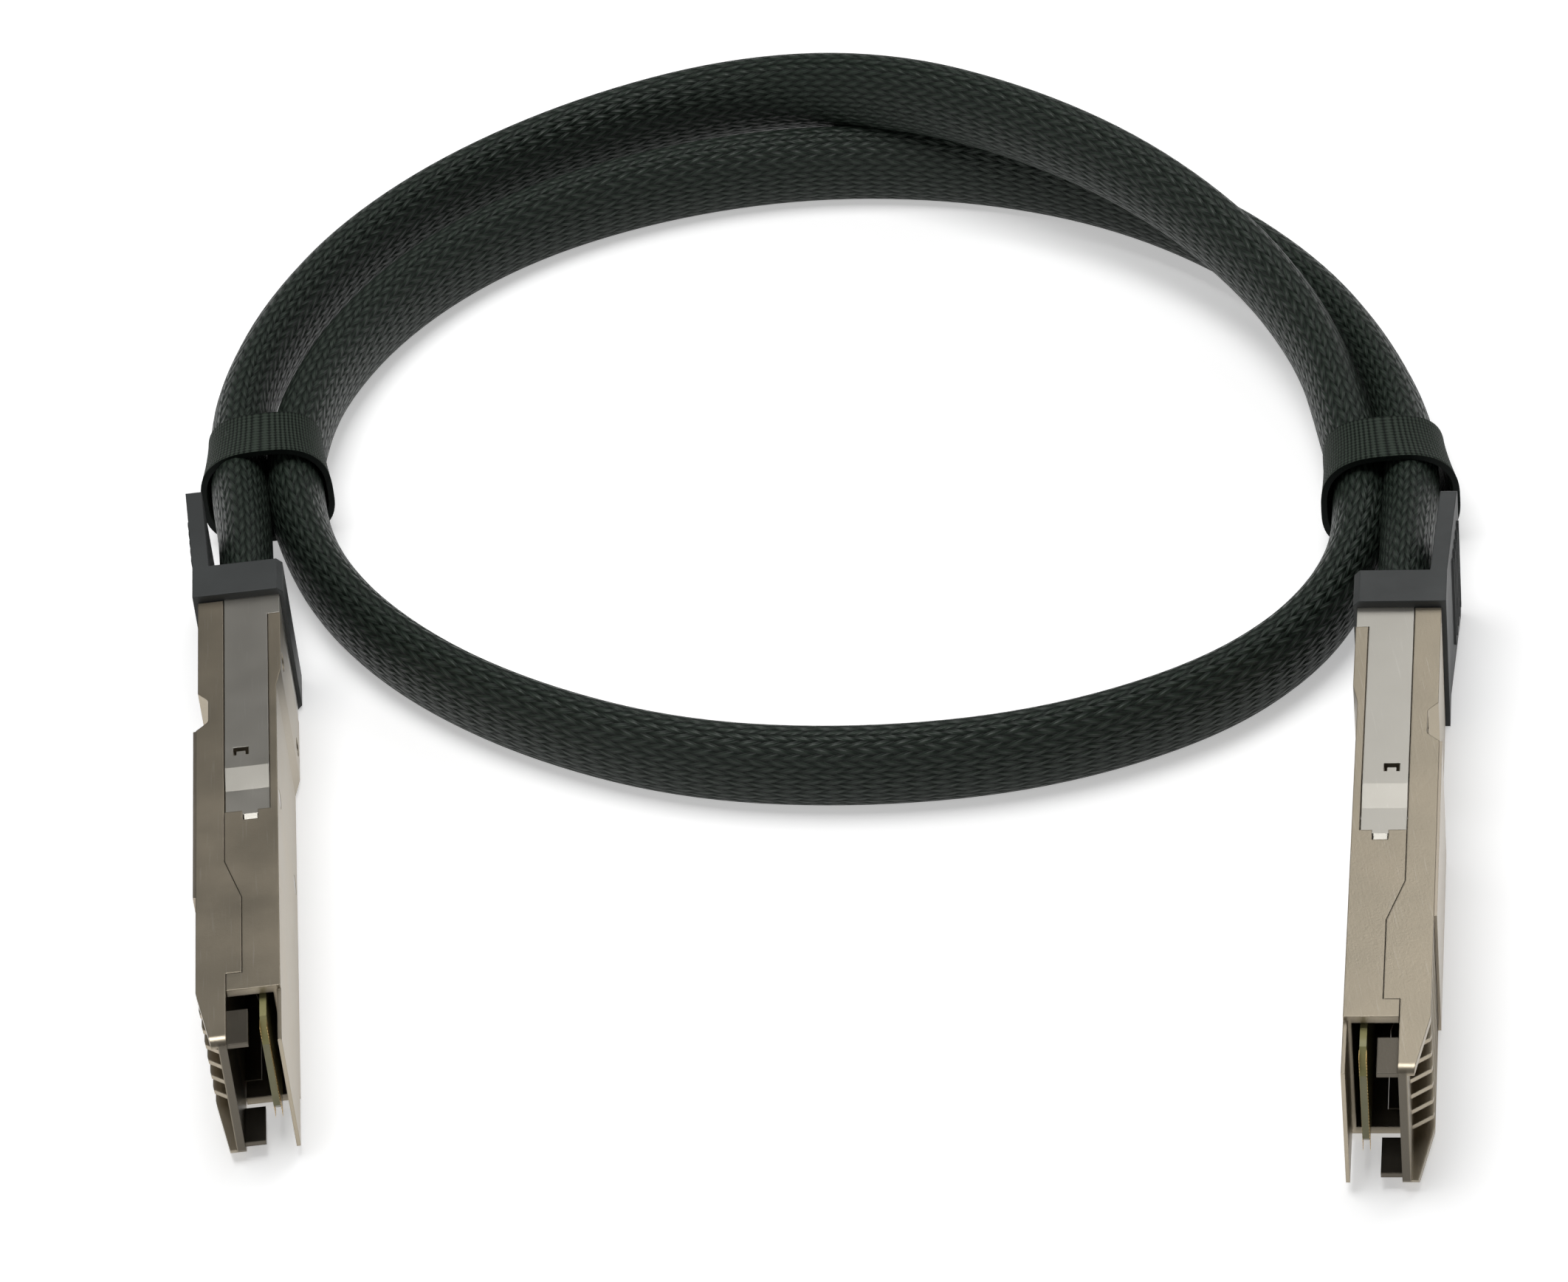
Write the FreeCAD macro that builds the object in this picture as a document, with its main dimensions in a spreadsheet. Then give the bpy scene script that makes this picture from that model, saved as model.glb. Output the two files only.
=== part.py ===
import FreeCAD, Part
import Sketcher
import math
import os
import re

# Direct attach copper cable: two finned pluggable modules joined by one
# braided oval cable, coiled in one and a half turns inside two straps.
# A module's pieces are drawn once, in the module's own frame, and placed twice:
#   x runs from the plain wide face to the finned one, 0 at mid thickness,
#   y runs from the nose back to the pull tab, 0 at the nose tip,
#   z runs across the width, 0 at mid width.
# "depth" below is x counted from the plain wide face.
# In the assembly Z is up, and both modules stand on a narrow side.

V = FreeCAD.Vector
doc = FreeCAD.newDocument("direct_attach_cable")

SIZES = {
    # module envelope
    "module_width": 22.58, "module_depth": 13.0, "shell_length": 106.0,
    "shell_wall": 1.25, "plain_wall": 1.2, "rear_wall": 3.0, "seam_gap": 0.1,
    # seam between the two shells, as depths and lengths
    "seam_nose": 8.1, "seam_middle": 5.7, "mouth_length": 11.3,
    "seam_hook": 15.2, "seam_slope_start": 32.5, "seam_slope_end": 41.2,
    # finned shell
    "nose_depth": 10.4, "nose_taper": 11.5, "nose_round": 1.5, "base_plate": 1.3,
    "fin_start": 8.3, "fin_rake": 2.5, "fin_count": 6, "fin_thickness": 0.8,
    "cover_thickness": 0.45, "cover_start": 33.5, "cover_margin": 0.15,
    "outlet_front": 73.6, "outlet_length": 9.2, "outlet_slope": 1.9, "outlet_depth": 1.9,
    "outlet_round": 1.2,
    "rear_step": 0.75, "guide_depth": 5.0, "guide_width": 0.8, "guide_length": 7.6,
    "guide_setback": 0.6,
    # plain shell
    "lip_thickness": 0.6, "step_height": 0.75, "step_start": 87.0, "step_slope": 4.0, "rail_width": 4.2,
    "screw_shank": 1.7, "screw_head": 3.0, "screw_sink": 0.6, "screw_front": 58.0,
    "screw_back": 92.0, "screw_inset": 2.7, "screw_bite": 2.5, "screw_clearance": 0.05,
    # release slider and its way in the shells
    "slider_sheet": 0.5, "slider_gap": 0.15, "slider_sink": 0.1, "arm_edge": 1.3,
    "arm_width": 6.8, "arm_front": 53.0, "tongue_reach": 2.2, "tongue_width": 2.1,
    "tongue_edge": 3.2, "tongue_drop": 0.45, "ramp_front": 58.8, "ramp_back": 63.7,
    "ramp_drop": 0.7, "window_front": 66.6, "window_length": 1.9, "window_width": 2.4,
    "window_edge": 4.4, "window_side": 0.5, "window_tab": 0.9, "slider_travel": 3.0,
    "bridge_length": 4.4, "slider_anchor": 5.0,
    "lance_reach": 1.7, "spring_diameter": 1.9, "spring_wire": 0.3, "spring_turns": 5,
    "spring_length": 13.0, "spring_clearance": 0.15,
    # pull tab
    "tab_proud": 1.15, "tab_length": 7.8, "tab_gap": 0.3, "tab_skirt": 1.3, "tab_corner": 0.9,
    "limb_root": 2.6, "limb_tip": 2.6, "limb_length": 20.9, "limb_flare": 1.2, "limb_round": 1.2,
    "grip_count": 5, "grip_height": 0.35, "grip_width": 0.9, "grip_pitch": 2.4, "grip_inset": 3.0,
    # card and wiring
    "card_thickness": 1.0, "card_depth": 2.9, "card_setback": 4.4, "card_length": 43.0,
    "card_clearance": 0.2, "card_corner": 3.0, "pad_count": 30, "pad_margin": 0.16,
    "pad_width": 0.36, "pad_length": 1.8, "pad_height": 0.05, "pad_setback": 0.6,
    "pair_count": 8, "pair_pitch": 1.4, "pair_diameter": 1.1, "pair_overlap": 4.0,
    "chip_size": 4.0, "chip_height": 0.9, "chip_place": 24.0,
    # cable, its exit, its straps
    "cable_thickness": 8.6, "cable_height": 14.4, "cable_depth": 5.8, "collar_wall": 0.6,
    "collar_tail": 0.9, "collar_clearance": 0.1, "tab_clearance": 0.4,
    "strap_width": 12.0, "strap_thickness": 1.2, "strap_clearance": 0.3, "strap_arch": 3.0, "strap_gap": 10.4,
    "left_strap_x": -89.1, "left_strap_y": 110.0, "left_strap_yaw": 0.0,
    "right_strap_x": 92.7, "right_strap_y": 74.0, "right_strap_yaw": -3.0,
    # places of the two modules' nose tips, and the right one's toe-in
    "right_x": 70.8, "right_y": -84.3, "right_yaw": 9.5, "left_x": -92.8, "left_y": -50.06,
}

sheet = doc.addObject("Spreadsheet::Sheet", "sizes")
for row, (alias, number) in enumerate(SIZES.items(), start=1):
    sheet.set("A%d" % row, alias)
    sheet.set("B%d" % row, str(number))
    sheet.setAlias("B%d" % row, alias)
doc.recompute()

ALIAS = re.compile("|".join(sorted(SIZES, key=len, reverse=True)))


def size(alias):
    """The number that a cell of the sheet holds."""
    return float(sheet.get(alias))


def formula(text):
    """An expression of the sheet's cells, from a sum of their names."""
    return ALIAS.sub(lambda found: "sizes." + found.group(0), str(text))


def x_at(depth):
    return "(%s) - module_depth / 2" % depth


# Sums of sizes that several pieces share
HALF = "module_width / 2"
COVER_SEAT = "module_depth - cover_thickness"
BASE_TOP = "seam_nose + base_plate"
OUTLET_FLOOR = "module_depth - cover_thickness - outlet_depth"
OUTLET_BACK = "outlet_front + outlet_length"
REAR_DEPTH = "module_depth - rear_step"
SEAM_REAR = "arm_edge + arm_width + slider_gap"
FIN_GAP = "(module_width - 2 * shell_wall - fin_count * fin_thickness) / (fin_count + 1)"
SLIDER_TOP = "module_width / 2 - slider_sink"
SLIDER_FLOOR = "module_width / 2 - slider_sink - slider_sheet"
SINK = "slider_sink + slider_sheet + slider_gap"
WAY_FRONT = "arm_front - tongue_reach - slider_gap"
WAY_DEEP_END = "ramp_back + slider_travel + slider_gap"
CABLE_SIDES = 16
PAIR_SIDES = 8
SPRING_SIDES = 10
NARROW_START = "card_setback + card_length + card_clearance"
INNER_END = "shell_length - rear_wall"
TAB_FRONT = "shell_length + tab_gap"
TAB_BACK = "shell_length + tab_gap + tab_length"
COLLAR_BACK = "shell_length + tab_gap + tab_length + collar_tail"
CARD_HALF = "module_width / 2 - shell_wall - guide_width - card_clearance"
LANCE_BACK = "window_front + window_length + slider_sheet"
SPRING_FRONT = "window_front + window_length + slider_sheet + spring_clearance"
SPRING_DROP = "slider_sink + slider_sheet + spring_clearance + spring_diameter / 2"


def number(text):
    """The value of a sum of sizes, worked out by the document itself."""
    return float(sheet.evalExpression(formula(text).replace("sizes.", "")))


def block(name, x, y, z):
    """A box between two x, two y and two z."""
    item = doc.addObject("Part::Box", name)
    for axis, side, (low, high) in zip("xyz", ("Length", "Width", "Height"), (x, y, z)):
        item.setExpression(side, formula("(%s) - (%s)" % (high, low)))
        item.setExpression(".Placement.Base." + axis, formula(low))
    return item


def rod(name, x, y, z, diameter, length, direction=V(0, 0, 1)):
    """A round bar from a start point, along a direction."""
    item = doc.addObject("Part::Cylinder", name)
    item.Placement = FreeCAD.Placement(V(), FreeCAD.Rotation(V(0, 0, 1), direction))
    item.setExpression("Radius", formula("(%s) / 2" % diameter))
    item.setExpression("Height", formula(length))
    for axis, start in zip("xyz", (x, y, z)):
        item.setExpression(".Placement.Base." + axis, formula(start))
    return item


def oval(name, growth, start, length):
    """A bar round the cable's section, along y at the cable's depth: two round ends
    and the flat sides between them."""
    radius = "(cable_thickness / 2 + (%s))" % growth
    reach = "(cable_height / 2 + (%s) - %s)" % (growth, radius)
    ends = [rod("%s_%s" % (name, end), x_at("cable_depth"), start, sign + reach, "2 * " + radius,
                length, V(0, 1, 0)) for end, sign in (("upper", ""), ("lower", "-"))]
    middle = block(name + "_middle",
                   (x_at("cable_depth") + " - " + radius, x_at("cable_depth") + " + " + radius),
                   (start, "(%s) + (%s)" % (start, length)), ("-" + reach, reach))
    return join(name, middle, *ends)


def cut(name, base, *tools):
    item = doc.addObject("Part::Cut", name)
    item.Base = base
    item.Tool = tools[0] if len(tools) == 1 else join(name + "_tools", *tools)
    return item


def join(name, *pieces):
    item = doc.addObject("Part::MultiFuse", name)
    item.Shapes = list(pieces)
    return item


def new_body(name):
    return doc.addObject("PartDesign::Body", name)


def plane_of(body, role):
    return [item for item in body.Origin.OriginFeatures if item.Role == role][0]


def outline(body, name, corners, plane="XY_Plane", level="0"):
    """A closed sketch through corners given as pairs of sums, held by one pair of
    dimensions each, at a level along the plane's normal."""
    sketch = body.newObject("Sketcher::SketchObject", name)
    sketch.AttachmentSupport = [(plane_of(body, plane), "")]
    sketch.MapMode = "FlatFace"
    sketch.setExpression(".AttachmentOffset.Base.z", formula(level))
    spots = [(number(first), number(second)) for first, second in corners]
    ends = spots[1:] + spots[:1]
    sketch.addGeometry([Part.LineSegment(V(*a, 0), V(*b, 0)) for a, b in zip(spots, ends)])
    count = len(corners)
    rules = [Sketcher.Constraint("Coincident", i, 2, (i + 1) % count, 1) for i in range(count)]
    for i, spot in enumerate(spots):
        rules.append(Sketcher.Constraint("DistanceX", -1, 1, i, 1, spot[0]))
        rules.append(Sketcher.Constraint("DistanceY", -1, 1, i, 1, spot[1]))
    sketch.addConstraint(rules)
    for i, corner in enumerate(corners):
        for axis, sum_text in enumerate(corner):
            sketch.setExpression("Constraints[%d]" % (count + 2 * i + axis), formula(sum_text))
    return sketch


def rectangle(x, y):
    return [(x[0], y[0]), (x[1], y[0]), (x[1], y[1]), (x[0], y[1])]


def feature(kind, body, name, sketch, length, symmetric=False, reverse=False):
    """A pad or a pocket of a sketch."""
    item = body.newObject("PartDesign::" + kind, name)
    item.Profile = sketch
    item.SideType = "Symmetric" if symmetric else "One side"
    item.Reversed = reverse
    item.setExpression("Length", formula(length))
    sketch.Visibility = False
    return item


def mirror(body, name, *originals):
    """The same features again on the other narrow side."""
    item = body.newObject("PartDesign::Mirrored", name)
    item.Originals = list(originals)
    item.MirrorPlane = (plane_of(body, "XY_Plane"), [""])
    body.Tip = item
    return item


def side_pocket(body, name, x, y, depth):
    """A recess in both narrow faces, its floor a depth below them."""
    sketch = outline(body, name + "_sketch", rectangle(x, y), level=HALF)
    first = feature("Pocket", body, name, sketch, depth)
    return mirror(body, name + "_mirror", first)


def round_edges(body, name, base, radius, spots):
    """Fillets on the edges of a feature whose middles are at the given spots."""
    doc.recompute()
    found = ["Edge%d" % (i + 1) for i, edge in enumerate(base.Shape.Edges)
             if any(edge.CenterOfMass.distanceToPoint(spot) < 1e-3 for spot in spots)]
    item = body.newObject("PartDesign::Fillet", name)
    item.Base = (base, found)
    item.setExpression("Radius", formula(radius))
    return item


def on_both_sides(x, y, z):
    """The spot at three sums, and its mirror image on the other narrow side."""
    spot = V(number(x), number(y), number(z))
    return [spot, V(spot.x, spot.y, -spot.z)]


def finned_shell():
    """The cast shell that carries the fins, open to the cover and to the plain shell."""
    body = new_body("finned_shell_body")
    profile = [
        (x_at("seam_nose"), "0"), (x_at("nose_depth"), "0"), (x_at(COVER_SEAT), "nose_taper"),
        (x_at(COVER_SEAT), "outlet_front"), (x_at(OUTLET_FLOOR), "outlet_front + outlet_slope"),
        (x_at(OUTLET_FLOOR), OUTLET_BACK + " - outlet_slope"), (x_at(REAR_DEPTH), OUTLET_BACK),
        (x_at(REAR_DEPTH), "shell_length"), (x_at(SEAM_REAR), "shell_length"),
        (x_at(SEAM_REAR), "seam_slope_end"), (x_at("seam_middle"), "seam_slope_start"),
        (x_at("seam_middle"), "seam_hook"), (x_at("seam_nose"), "seam_hook"),
    ]
    block_pad = feature("Pad", body, "finned_block", outline(body, "finned_profile", profile),
                        "module_width", True)
    nose = round_edges(body, "nose_corners", block_pad, "nose_round",
                       on_both_sides("(seam_nose + nose_depth - module_depth) / 2", "0", HALF))
    round_edges(body, "outlet_corners", nose, "outlet_round",
                on_both_sides(x_at(OUTLET_FLOOR), "outlet_front + outlet_slope", "0")
                + on_both_sides(x_at(OUTLET_FLOOR), OUTLET_BACK + " - outlet_slope", "0"))
    hollow = rectangle((x_at("seam_middle - 1"), x_at("seam_nose")), ("seam_hook - 1", NARROW_START))
    feature("Pocket", body, "finned_hollow", outline(body, "finned_hollow_sketch", hollow),
            "module_width - 2 * shell_wall", True)
    front = [
        (x_at(BASE_TOP), "-1"), (x_at(BASE_TOP), "fin_start"), (x_at(COVER_SEAT), "fin_start + fin_rake"),
        (x_at("module_depth + 1"), "fin_start + fin_rake"), (x_at("module_depth + 1"), "-1"),
    ]
    feature("Pocket", body, "fin_setback", outline(body, "fin_setback_sketch", front),
            "module_width - 2 * shell_wall", True)
    channel = rectangle((x_at(BASE_TOP), x_at("module_depth + 1")),
                        ("fin_start - 1", OUTLET_BACK + " - outlet_slope"))
    first_top = "shell_wall - module_width / 2 + " + FIN_GAP
    groove = feature("Pocket", body, "fin_channel",
                     outline(body, "fin_channel_sketch", channel, level=first_top), FIN_GAP)
    fins = body.newObject("PartDesign::LinearPattern", "fin_channels")
    fins.Originals = [groove]
    fins.Direction = (plane_of(body, "Z_Axis"), [""])
    fins.setExpression("Length", formula("fin_count * (fin_thickness + (%s))" % FIN_GAP))
    fins.setExpression("Occurrences", formula("fin_count + 1"))
    body.Tip = fins
    guide = rectangle((x_at("guide_depth"), x_at("seam_nose + base_plate / 2")),
                      ("guide_setback", "guide_setback + guide_length"))
    post = feature("Pad", body, "card_guide",
                   outline(body, "card_guide_sketch", guide, level=HALF + " - shell_wall"),
                   "guide_width", reverse=True)
    mirror(body, "card_guides", post)
    screw_bores = [
        rod("finned_bore_%d" % i, x_at(SEAM_REAR + " - 1"), y, z, "screw_shank + 2 * screw_clearance",
            "screw_bite + 1", V(1, 0, 0)) for i, (y, z) in enumerate(SCREW_SPOTS)]
    return cut("finned_shell", body, oval("finned_exit", "collar_wall + collar_clearance",
                                          "%s - 1" % INNER_END, "rear_wall + 2"), *screw_bores)


SCREW_SPOTS = [(y, "%s(module_width / 2 - screw_inset)" % sign)
               for y in ("screw_front", "screw_back") for sign in ("", "-")]


def plain_shell():
    """The cast shell with the plain wide face and most of both narrow walls."""
    body = new_body("plain_shell_body")
    profile = [
        (x_at("0"), "mouth_length"), (x_at("seam_nose - seam_gap"), "mouth_length"),
        (x_at("seam_nose - seam_gap"), "seam_hook - seam_gap"),
        (x_at("seam_middle - seam_gap"), "seam_hook - seam_gap"),
        (x_at("seam_middle - seam_gap"), "seam_slope_start"),
        (x_at(SEAM_REAR + " - seam_gap"), "seam_slope_end"), (x_at(SEAM_REAR + " - seam_gap"), "shell_length"),
        (x_at("0"), "shell_length"), (x_at("0"), "shell_length - bridge_length - slider_gap"),
        (x_at("-step_height"), "shell_length - bridge_length - slider_gap"),
        (x_at("-step_height"), "step_start"), (x_at("0"), "step_start - step_slope"),
    ]
    feature("Pad", body, "plain_block", outline(body, "plain_profile", profile), "module_width", True)
    lip = rectangle((x_at("0"), x_at("lip_thickness")), ("0", "mouth_length + 1"))
    feature("Pad", body, "plain_lip", outline(body, "plain_lip_sketch", lip),
            "module_width - 2 * guide_width", True)
    wide = rectangle((x_at("plain_wall"), x_at("module_depth")), ("mouth_length - 1", NARROW_START))
    feature("Pocket", body, "plain_hollow", outline(body, "plain_hollow_sketch", wide),
            "module_width - 2 * shell_wall", True)
    narrow = rectangle((x_at("plain_wall"), x_at("module_depth")), (NARROW_START + " - 1", INNER_END))
    feature("Pocket", body, "wire_way", outline(body, "wire_way_sketch", narrow),
            "module_width - 2 * rail_width", True)
    way = (x_at("arm_edge - slider_gap"), x_at("module_depth"))
    side_pocket(body, "arm_way", way, ("arm_front - slider_gap", "shell_length + 1"), SINK)
    side_pocket(body, "latch_pocket", way, ("arm_front - slider_gap", WAY_DEEP_END),
                SINK + " + ramp_drop + tongue_drop")
    side_pocket(body, "tongue_pocket",
                (x_at("tongue_edge - slider_gap"), x_at("tongue_edge + tongue_width + slider_gap")),
                (WAY_FRONT, "arm_front"), SINK + " + ramp_drop + tongue_drop")
    side_pocket(body, "bridge_way", (x_at("-1"), x_at("arm_edge")),
                ("shell_length - bridge_length - slider_gap", "shell_length + 1"), SINK)
    spring_way = (x_at("window_edge + window_width / 2 - spring_diameter / 2 - spring_clearance"),
                  x_at("window_edge + window_width / 2 + spring_diameter / 2 + spring_clearance"))
    side_pocket(body, "spring_pocket", spring_way,
                ("window_front - slider_gap", SPRING_FRONT + " + spring_length + spring_clearance"),
                "slider_sink + slider_sheet + 2 * spring_clearance + spring_diameter")
    screw_bores = [
        rod("plain_bore_%d" % i, x_at("-1"), y, z, "screw_shank + 2 * screw_clearance",
            "module_depth", V(1, 0, 0)) for i, (y, z) in enumerate(SCREW_SPOTS)]
    head_seats = [
        rod("head_seat_%d" % i, x_at("-1"), y, z, "screw_head + 2 * screw_clearance",
            "screw_sink + 1", V(1, 0, 0)) for i, (y, z) in enumerate(SCREW_SPOTS)]
    return cut("plain_shell", body, oval("plain_exit", "collar_wall + collar_clearance",
                                         "%s - 1" % INNER_END, "rear_wall + 2"), *screw_bores, *head_seats)


def shell_screws():
    """Four flat screws that hold the plain shell to the finned one."""
    screws = []
    for i, (y, z) in enumerate(SCREW_SPOTS):
        head = rod("screw_head_%d" % i, x_at("screw_clearance"), y, z, "screw_head",
                   "screw_sink - screw_clearance", V(1, 0, 0))
        shank = rod("screw_shank_%d" % i, x_at("screw_sink"), y, z, "screw_shank",
                    SEAM_REAR + " + screw_bite - screw_sink - 0.3", V(1, 0, 0))
        screws.append(join("screw_%d" % i, head, shank))
    return screws


def fin_cover():
    """A thin sheet that closes the fin channels behind their open front stretch."""
    return block("cover_sheet", (x_at(COVER_SEAT), x_at("module_depth")), ("cover_start", "outlet_front"),
                 ("cover_margin - module_width / 2", "module_width / 2 - cover_margin"))


def release_slider():
    """The stamped slider: two joggled arms and the bridge that joins them."""
    body = new_body("slider_body")
    arm = [
        ("shell_length + slider_anchor", SLIDER_FLOOR), ("shell_length + slider_anchor", SLIDER_TOP),
        ("ramp_back", SLIDER_TOP), ("ramp_front", SLIDER_TOP + " - ramp_drop"),
        ("arm_front", SLIDER_TOP + " - ramp_drop"), ("arm_front", SLIDER_FLOOR + " - ramp_drop"),
        ("ramp_front", SLIDER_FLOOR + " - ramp_drop"), ("ramp_back", SLIDER_FLOOR),
    ]
    strip = feature("Pad", body, "arm", outline(body, "arm_sketch", arm, "YZ_Plane", x_at("arm_edge")),
                    "arm_width")
    lower = "%s - ramp_drop"
    tongue = [
        ("arm_front + 1", lower % SLIDER_TOP), ("arm_front", lower % SLIDER_TOP),
        ("arm_front - tongue_reach", lower % SLIDER_TOP + " - tongue_drop"),
        ("arm_front - tongue_reach", lower % SLIDER_FLOOR + " - tongue_drop"),
        ("arm_front", lower % SLIDER_FLOOR), ("arm_front + 1", lower % SLIDER_FLOOR),
    ]
    tip = feature("Pad", body, "arm_tongue",
                  outline(body, "arm_tongue_sketch", tongue, "YZ_Plane", x_at("tongue_edge")), "tongue_width")
    far_edge = "window_edge + window_width"
    window = [
        (x_at("window_edge"), "window_front"), (x_at("window_edge + window_side"), "window_front"),
        (x_at("window_edge + window_side"), "window_front + window_tab"),
        (x_at(far_edge + " - window_side"), "window_front + window_tab"),
        (x_at(far_edge + " - window_side"), "window_front"), (x_at(far_edge), "window_front"),
        (x_at(far_edge), "window_front + window_length"),
        (x_at("window_edge"), "window_front + window_length"),
    ]
    hole = feature("Pocket", body, "arm_window", outline(body, "arm_window_sketch", window, level=HALF),
                   "slider_sink + slider_sheet + 1")
    lance = rectangle((x_at("window_edge + slider_gap"), x_at("window_edge + window_width - slider_gap")),
                      ("window_front + window_length", LANCE_BACK))
    lug = feature("Pad", body, "arm_lance",
                  outline(body, "arm_lance_sketch", lance, level=SLIDER_FLOOR + " + slider_sheet / 2"),
                  "slider_sheet / 2 + lance_reach", reverse=True)
    mirror(body, "second_arm", strip, tip, hole, lug)
    inside = x_at("-slider_gap")
    outside = x_at("-slider_gap - slider_sheet")
    reach = x_at("arm_edge + 1")
    band = [
        (reach, SLIDER_TOP), (outside, SLIDER_TOP), (outside, "-(%s)" % SLIDER_TOP),
        (reach, "-(%s)" % SLIDER_TOP), (reach, "-(%s)" % SLIDER_FLOOR), (inside, "-(%s)" % SLIDER_FLOOR),
        (inside, SLIDER_FLOOR), (reach, SLIDER_FLOOR),
    ]
    feature("Pad", body, "bridge",
            outline(body, "bridge_sketch", band, "XZ_Plane", "-(shell_length + slider_anchor)"),
            "bridge_length + slider_anchor")
    return body


def pull_tab(slider):
    """The moulded tab: a frame round the cable exit and a limb along the cable."""
    body = new_body("tab_body")
    wide = HALF + " + tab_proud"
    frame = [
        (x_at("-tab_skirt"), "-(%s - tab_corner)" % wide), (x_at("tab_corner - tab_skirt"), "-(%s)" % wide),
        (x_at("module_depth"), "-(%s)" % wide), (x_at("module_depth"), wide),
        (x_at("tab_corner - tab_skirt"), wide), (x_at("-tab_skirt"), "%s - tab_corner" % wide),
    ]
    feature("Pad", body, "tab_frame", outline(body, "tab_frame_sketch", frame, "XZ_Plane", "-(%s)" % TAB_BACK),
            "tab_length")
    limb = [
        (x_at("module_depth - limb_root"), TAB_BACK + " - 1"), (x_at("module_depth"), TAB_BACK + " - 1"),
        (x_at("module_depth"), TAB_BACK), (x_at("module_depth + limb_flare"), TAB_BACK + " + limb_length"),
        (x_at("module_depth + limb_flare - limb_tip"), TAB_BACK + " + limb_length"),
        (x_at("module_depth - limb_root"), TAB_BACK),
    ]
    limb_pad = feature("Pad", body, "tab_limb", outline(body, "tab_limb_sketch", limb),
                       "module_width + 2 * tab_proud", True)
    round_edges(body, "limb_corners", limb_pad, "limb_round",
                on_both_sides("module_depth / 2 + limb_flare - limb_tip / 2",
                              TAB_BACK + " + limb_length", wide))
    for i in range(int(size("grip_count"))):
        back = "limb_length - grip_inset - %d * grip_pitch" % i
        face = "module_depth / 2 + limb_flare * (%s) / limb_length" % back
        rib = rectangle((face + " - grip_height", face + " + grip_height"),
                        (TAB_BACK + " + %s - grip_width" % back, TAB_BACK + " + " + back))
        feature("Pad", body, "grip_%d" % i, outline(body, "grip_%d_sketch" % i, rib),
                "module_width - 2 * grip_inset", True)
    opening = oval("tab_opening", "collar_wall + tab_clearance", TAB_FRONT + " - 1", "tab_length + 2")
    return cut("tab_shape", body, opening, slider)


def paddle_card():
    """The edge card, its two front corners cut back."""
    body = new_body("card_body")
    half = CARD_HALF
    back = "card_setback + card_length"
    shape = [
        ("card_setback", "-(%s - card_corner)" % half), ("card_setback + card_corner", "-(%s)" % half),
        (back, "-(%s)" % half), (back, half), ("card_setback + card_corner", half),
        ("card_setback", "%s - card_corner" % half),
    ]
    feature("Pad", body, "card", outline(body, "card_sketch", shape, "YZ_Plane",
                                         x_at("card_depth - card_thickness / 2")), "card_thickness")
    return body


def solids_feature(name, solids):
    item = doc.addObject("Part::Feature", name)
    item.Shape = Part.makeCompound(solids)
    return item


def contact_pads():
    """A row of plated pads on each face of the card, near its front edge."""
    pads = []
    first = -number("%s - pad_margin" % CARD_HALF)
    pitch = (-2 * first - size("pad_width")) / (size("pad_count") - 1)
    start = size("card_setback") + size("pad_setback")
    faces = (number(x_at("card_depth + card_thickness / 2")),
             number(x_at("card_depth - card_thickness / 2 - pad_height")))
    for x in faces:
        for i in range(int(size("pad_count"))):
            corner = V(x, start, first + i * pitch)
            pads.append(Part.makeBox(size("pad_height"), size("pad_length"), size("pad_width"), corner))
    return solids_feature("pads", pads)


def flat_sided(wide, high, sides):
    """A closed section with flat sides inside an oval, its first axis along x."""
    turn = 2 * math.pi / sides
    corners = [V(math.cos(i * turn) * wide / 2, math.sin(i * turn) * high / 2) for i in range(sides)]
    return Part.makePolygon(corners + corners[:1])


def copper_pairs():
    """Two ranks of shielded pairs, from the card's faces back to the collar."""
    pairs = []
    radius = size("pair_diameter") / 2
    section = Part.Face(flat_sided(2 * radius, 2 * radius, PAIR_SIDES))
    start = number("card_setback + card_length - pair_overlap")
    length = number(INNER_END) - size("collar_clearance") - start
    offset = size("card_thickness") / 2 + radius
    first = -(size("pair_count") - 1) / 2 * size("pair_pitch")
    for side in (-offset, offset):
        for i in range(int(size("pair_count"))):
            place = V(number(x_at("card_depth")) + side, start, first + i * size("pair_pitch"))
            bar = section.extrude(V(0, 0, length))
            bar.Placement = FreeCAD.Placement(place, FreeCAD.Rotation(V(0, 0, 1), V(0, 1, 0)))
            pairs.append(bar)
    return solids_feature("pairs", pairs)


def memory_chip():
    place = "card_setback + chip_place"
    face = x_at("card_depth + card_thickness / 2")
    return block("chip", (face, face + " + chip_height"), (place, place + " + chip_size"),
                 ("-chip_size / 2", "chip_size / 2"))


def cable_collar():
    """The crimped metal collar that holds the cable in the shells' rear wall."""
    length = "(%s) - (%s)" % (COLLAR_BACK, INNER_END)
    outer = oval("collar_outer", "collar_wall", INNER_END, length)
    inner = oval("collar_inner", "0", INNER_END + " - 1", length + " + 2")
    return cut("collar", outer, inner)


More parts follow.
